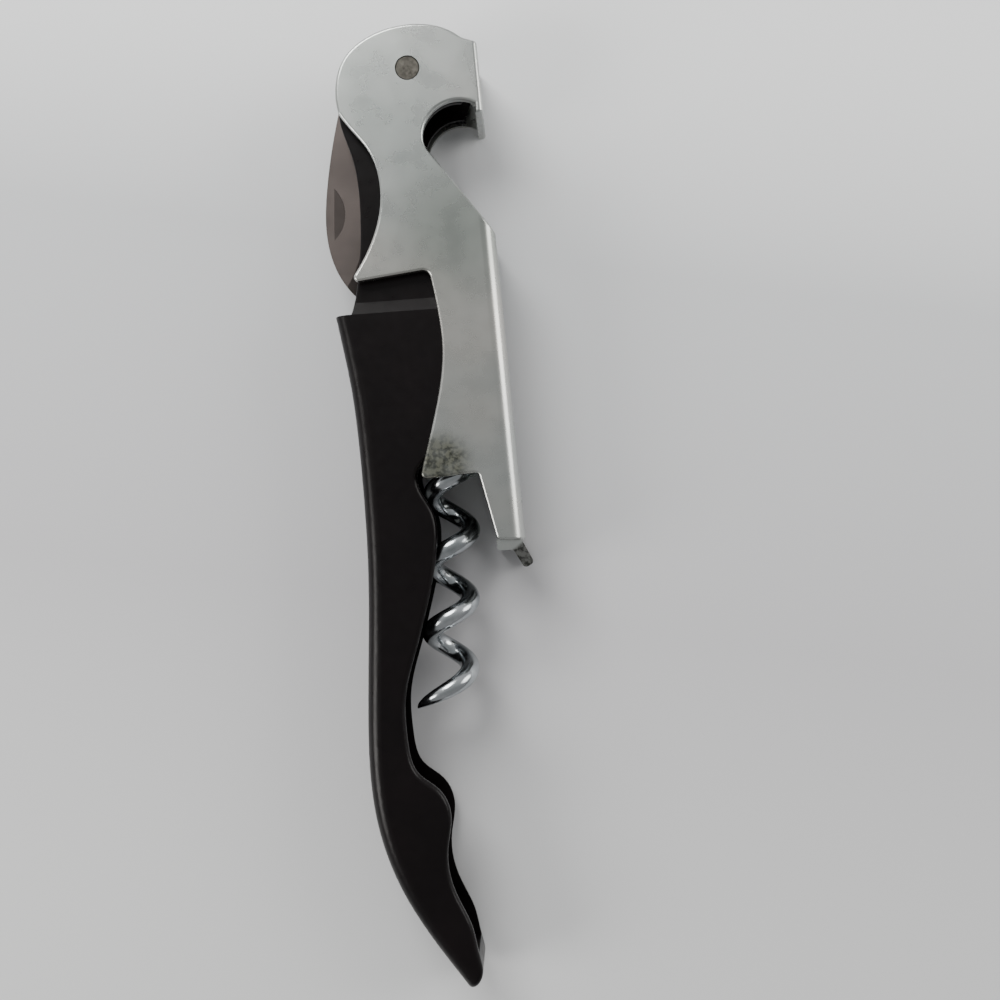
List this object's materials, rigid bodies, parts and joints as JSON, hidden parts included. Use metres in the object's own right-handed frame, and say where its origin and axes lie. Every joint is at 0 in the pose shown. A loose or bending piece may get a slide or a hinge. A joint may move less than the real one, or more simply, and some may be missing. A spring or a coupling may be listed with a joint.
{
  "type": "waiters corkscrew",
  "caption": "Folding waiter's corkscrew with a black folded-steel handle, a plated lever with cap opener and lip steps, an open helical worm and a foil blade.",
  "frame": {"origin": "centre of the bounding box's footprint, on the plane of the lever's rear plate that the tool lies on", "axes": "+X across the tool towards the lever's web, +Y along the tool towards the head, +Z through the thickness, away from the surface it lies on"},
  "size_m": [0.0244, 0.1246, 0.0126],
  "materials": {
    "handle_coat": "semi-gloss black coating",
    "lever_plate": "bright nickel plating, slightly clouded",
    "blade_steel": "satin stainless",
    "worm_plate": "polished plating",
    "rivet_steel": "raw peened steel",
    "shim_steel": "plain steel",
    "spring_steel": "tempered spring steel"
  },
  "bodies": {
    "handle": {"handle_body": "handle_coat", "head_rivet": "rivet_steel", "lever_washer_rear": "shim_steel", "lever_washer_front": "shim_steel", "blade_spacer_rear": "shim_steel", "blade_spacer_front": "shim_steel", "worm_pin": "rivet_steel", "worm_washer_rear": "shim_steel", "worm_washer_front": "shim_steel", "back_spring": "spring_steel"},
    "lever": {"lever": "lever_plate"},
    "blade": {"blade": "blade_steel"},
    "worm": {"worm": "worm_plate", "worm_knuckle": "worm_plate"}
  },
  "joints": [
    {"name": "lever_swing", "type": "hinge", "parent": "handle", "child": "lever", "pos_m": [0.00044, 0.05661, 0.0063], "axis": [0, 0, 1], "range_deg": [0, 150]},
    {"name": "worm_swing", "type": "hinge", "parent": "handle", "child": "worm", "pos_m": [0.00354, 0.02161, 0.0063], "axis": [0, 0, 1], "range_deg": [0, 90]},
    {"name": "blade_swing", "type": "hinge", "parent": "handle", "child": "blade", "pos_m": [0.00044, 0.05661, 0.0063], "axis": [0, 0, -1], "range_deg": [0, 150]}
  ],
  "couplings": [
    {"joint": "worm_swing", "follows": "lever_swing", "ratio": 0.6}
  ]
}
